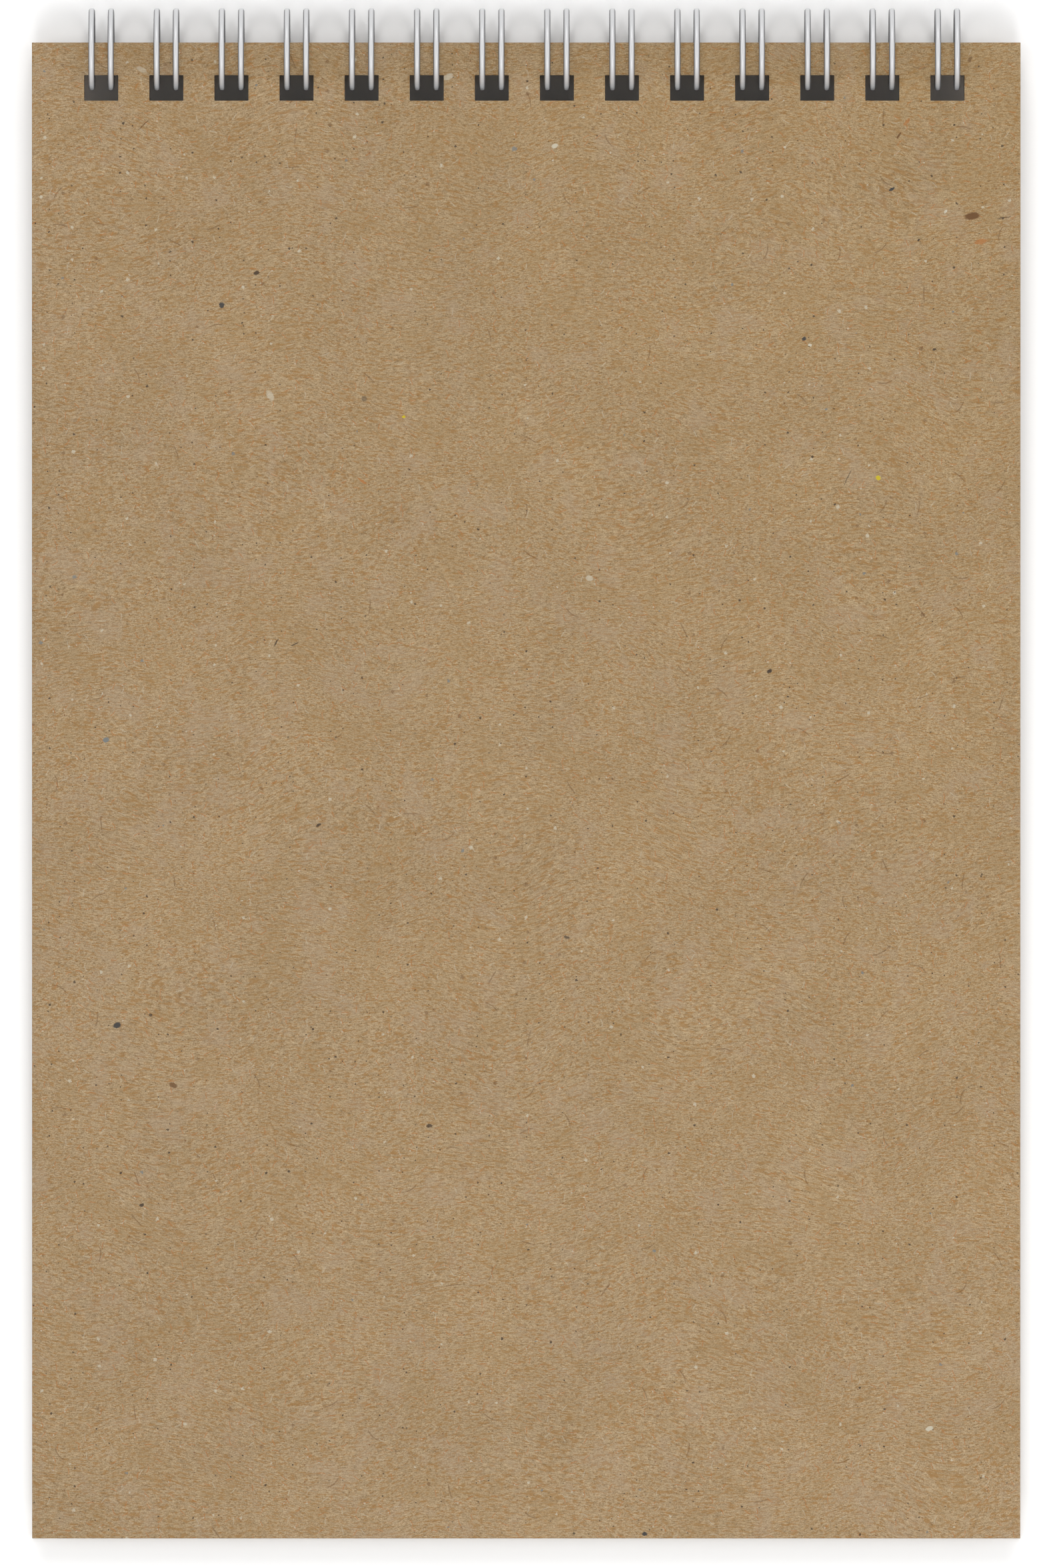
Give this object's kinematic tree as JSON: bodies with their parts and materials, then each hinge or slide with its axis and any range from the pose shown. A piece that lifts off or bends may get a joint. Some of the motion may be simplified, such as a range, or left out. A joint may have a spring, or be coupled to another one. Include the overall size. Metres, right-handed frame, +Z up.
{
  "type": "sketchbook",
  "caption": "Upright sketchbook with blank kraft board covers and white drawing sheets, bound across the top by a row of twin-loop wire rings.",
  "frame": {"origin": "on the surface it lies on, below the middle of its bounding box", "axes": "+X along the binding, +Y towards the bound edge, +Z up out of the front cover; the pad lies on its back on the rings' undersides and the back cover's far edge, so its covers slope by 0.73 degrees"},
  "size_m": [0.1286, 0.1991, 0.0107],
  "materials": {
    "kraft_board": "matt",
    "drawing_paper": "matt",
    "wire": "satin"
  },
  "bodies": {
    "back": {"back_cover": "kraft_board", "binding_wire": "wire"},
    "sheet_01": {"sheet_01": "drawing_paper"},
    "sheet_02": {"sheet_02": "drawing_paper"},
    "sheet_03": {"sheet_03": "drawing_paper"},
    "sheet_04": {"sheet_04": "drawing_paper"},
    "sheet_05": {"sheet_05": "drawing_paper"},
    "sheet_06": {"sheet_06": "drawing_paper"},
    "sheet_07": {"sheet_07": "drawing_paper"},
    "sheet_08": {"sheet_08": "drawing_paper"},
    "sheet_09": {"sheet_09": "drawing_paper"},
    "sheet_10": {"sheet_10": "drawing_paper"},
    "sheet_11": {"sheet_11": "drawing_paper"},
    "sheet_12": {"sheet_12": "drawing_paper"},
    "sheet_13": {"sheet_13": "drawing_paper"},
    "sheet_14": {"sheet_14": "drawing_paper"},
    "sheet_15": {"sheet_15": "drawing_paper"},
    "sheet_16": {"sheet_16": "drawing_paper"},
    "sheet_17": {"sheet_17": "drawing_paper"},
    "sheet_18": {"sheet_18": "drawing_paper"},
    "sheet_19": {"sheet_19": "drawing_paper"},
    "sheet_20": {"sheet_20": "drawing_paper"},
    "front": {"front_cover": "kraft_board"}
  },
  "joints": [
    {"name": "sheet_20_turn", "type": "hinge", "parent": "back", "child": "sheet_20", "pos_m": [0, 0.0942, 0.00536], "axis": [-1, 0, 0], "range_deg": [0, 180]},
    {"name": "sheet_19_turn", "type": "hinge", "parent": "sheet_20", "child": "sheet_19", "pos_m": [0, 0.0942, 0.00536], "axis": [-1, 0, 0], "range_deg": [0, 180]},
    {"name": "sheet_18_turn", "type": "hinge", "parent": "sheet_19", "child": "sheet_18", "pos_m": [0, 0.0942, 0.00536], "axis": [-1, 0, 0], "range_deg": [0, 180]},
    {"name": "sheet_17_turn", "type": "hinge", "parent": "sheet_18", "child": "sheet_17", "pos_m": [0, 0.0942, 0.00536], "axis": [-1, 0, 0], "range_deg": [0, 180]},
    {"name": "sheet_16_turn", "type": "hinge", "parent": "sheet_17", "child": "sheet_16", "pos_m": [0, 0.0942, 0.00536], "axis": [-1, 0, 0], "range_deg": [0, 180]},
    {"name": "sheet_15_turn", "type": "hinge", "parent": "sheet_16", "child": "sheet_15", "pos_m": [0, 0.0942, 0.00536], "axis": [-1, 0, 0], "range_deg": [0, 180]},
    {"name": "sheet_14_turn", "type": "hinge", "parent": "sheet_15", "child": "sheet_14", "pos_m": [0, 0.0942, 0.00536], "axis": [-1, 0, 0], "range_deg": [0, 180]},
    {"name": "sheet_13_turn", "type": "hinge", "parent": "sheet_14", "child": "sheet_13", "pos_m": [0, 0.0942, 0.00536], "axis": [-1, 0, 0], "range_deg": [0, 180]},
    {"name": "sheet_12_turn", "type": "hinge", "parent": "sheet_13", "child": "sheet_12", "pos_m": [0, 0.0942, 0.00536], "axis": [-1, 0, 0], "range_deg": [0, 180]},
    {"name": "sheet_11_turn", "type": "hinge", "parent": "sheet_12", "child": "sheet_11", "pos_m": [0, 0.0942, 0.00536], "axis": [-1, 0, 0], "range_deg": [0, 180]},
    {"name": "sheet_10_turn", "type": "hinge", "parent": "sheet_11", "child": "sheet_10", "pos_m": [0, 0.0942, 0.00536], "axis": [-1, 0, 0], "range_deg": [0, 180]},
    {"name": "sheet_09_turn", "type": "hinge", "parent": "sheet_10", "child": "sheet_09", "pos_m": [0, 0.0942, 0.00536], "axis": [-1, 0, 0], "range_deg": [0, 180]},
    {"name": "sheet_08_turn", "type": "hinge", "parent": "sheet_09", "child": "sheet_08", "pos_m": [0, 0.0942, 0.00536], "axis": [-1, 0, 0], "range_deg": [0, 180]},
    {"name": "sheet_07_turn", "type": "hinge", "parent": "sheet_08", "child": "sheet_07", "pos_m": [0, 0.0942, 0.00536], "axis": [-1, 0, 0], "range_deg": [0, 180]},
    {"name": "sheet_06_turn", "type": "hinge", "parent": "sheet_07", "child": "sheet_06", "pos_m": [0, 0.0942, 0.00536], "axis": [-1, 0, 0], "range_deg": [0, 180]},
    {"name": "sheet_05_turn", "type": "hinge", "parent": "sheet_06", "child": "sheet_05", "pos_m": [0, 0.0942, 0.00536], "axis": [-1, 0, 0], "range_deg": [0, 180]},
    {"name": "sheet_04_turn", "type": "hinge", "parent": "sheet_05", "child": "sheet_04", "pos_m": [0, 0.0942, 0.00536], "axis": [-1, 0, 0], "range_deg": [0, 180]},
    {"name": "sheet_03_turn", "type": "hinge", "parent": "sheet_04", "child": "sheet_03", "pos_m": [0, 0.0942, 0.00536], "axis": [-1, 0, 0], "range_deg": [0, 180]},
    {"name": "sheet_02_turn", "type": "hinge", "parent": "sheet_03", "child": "sheet_02", "pos_m": [0, 0.0942, 0.00536], "axis": [-1, 0, 0], "range_deg": [0, 180]},
    {"name": "sheet_01_turn", "type": "hinge", "parent": "sheet_02", "child": "sheet_01", "pos_m": [0, 0.0942, 0.00536], "axis": [-1, 0, 0], "range_deg": [0, 180]},
    {"name": "front_turn", "type": "hinge", "parent": "sheet_01", "child": "front", "pos_m": [0, 0.0942, 0.00536], "axis": [-1, 0, 0], "range_deg": [0, 180]}
  ]
}
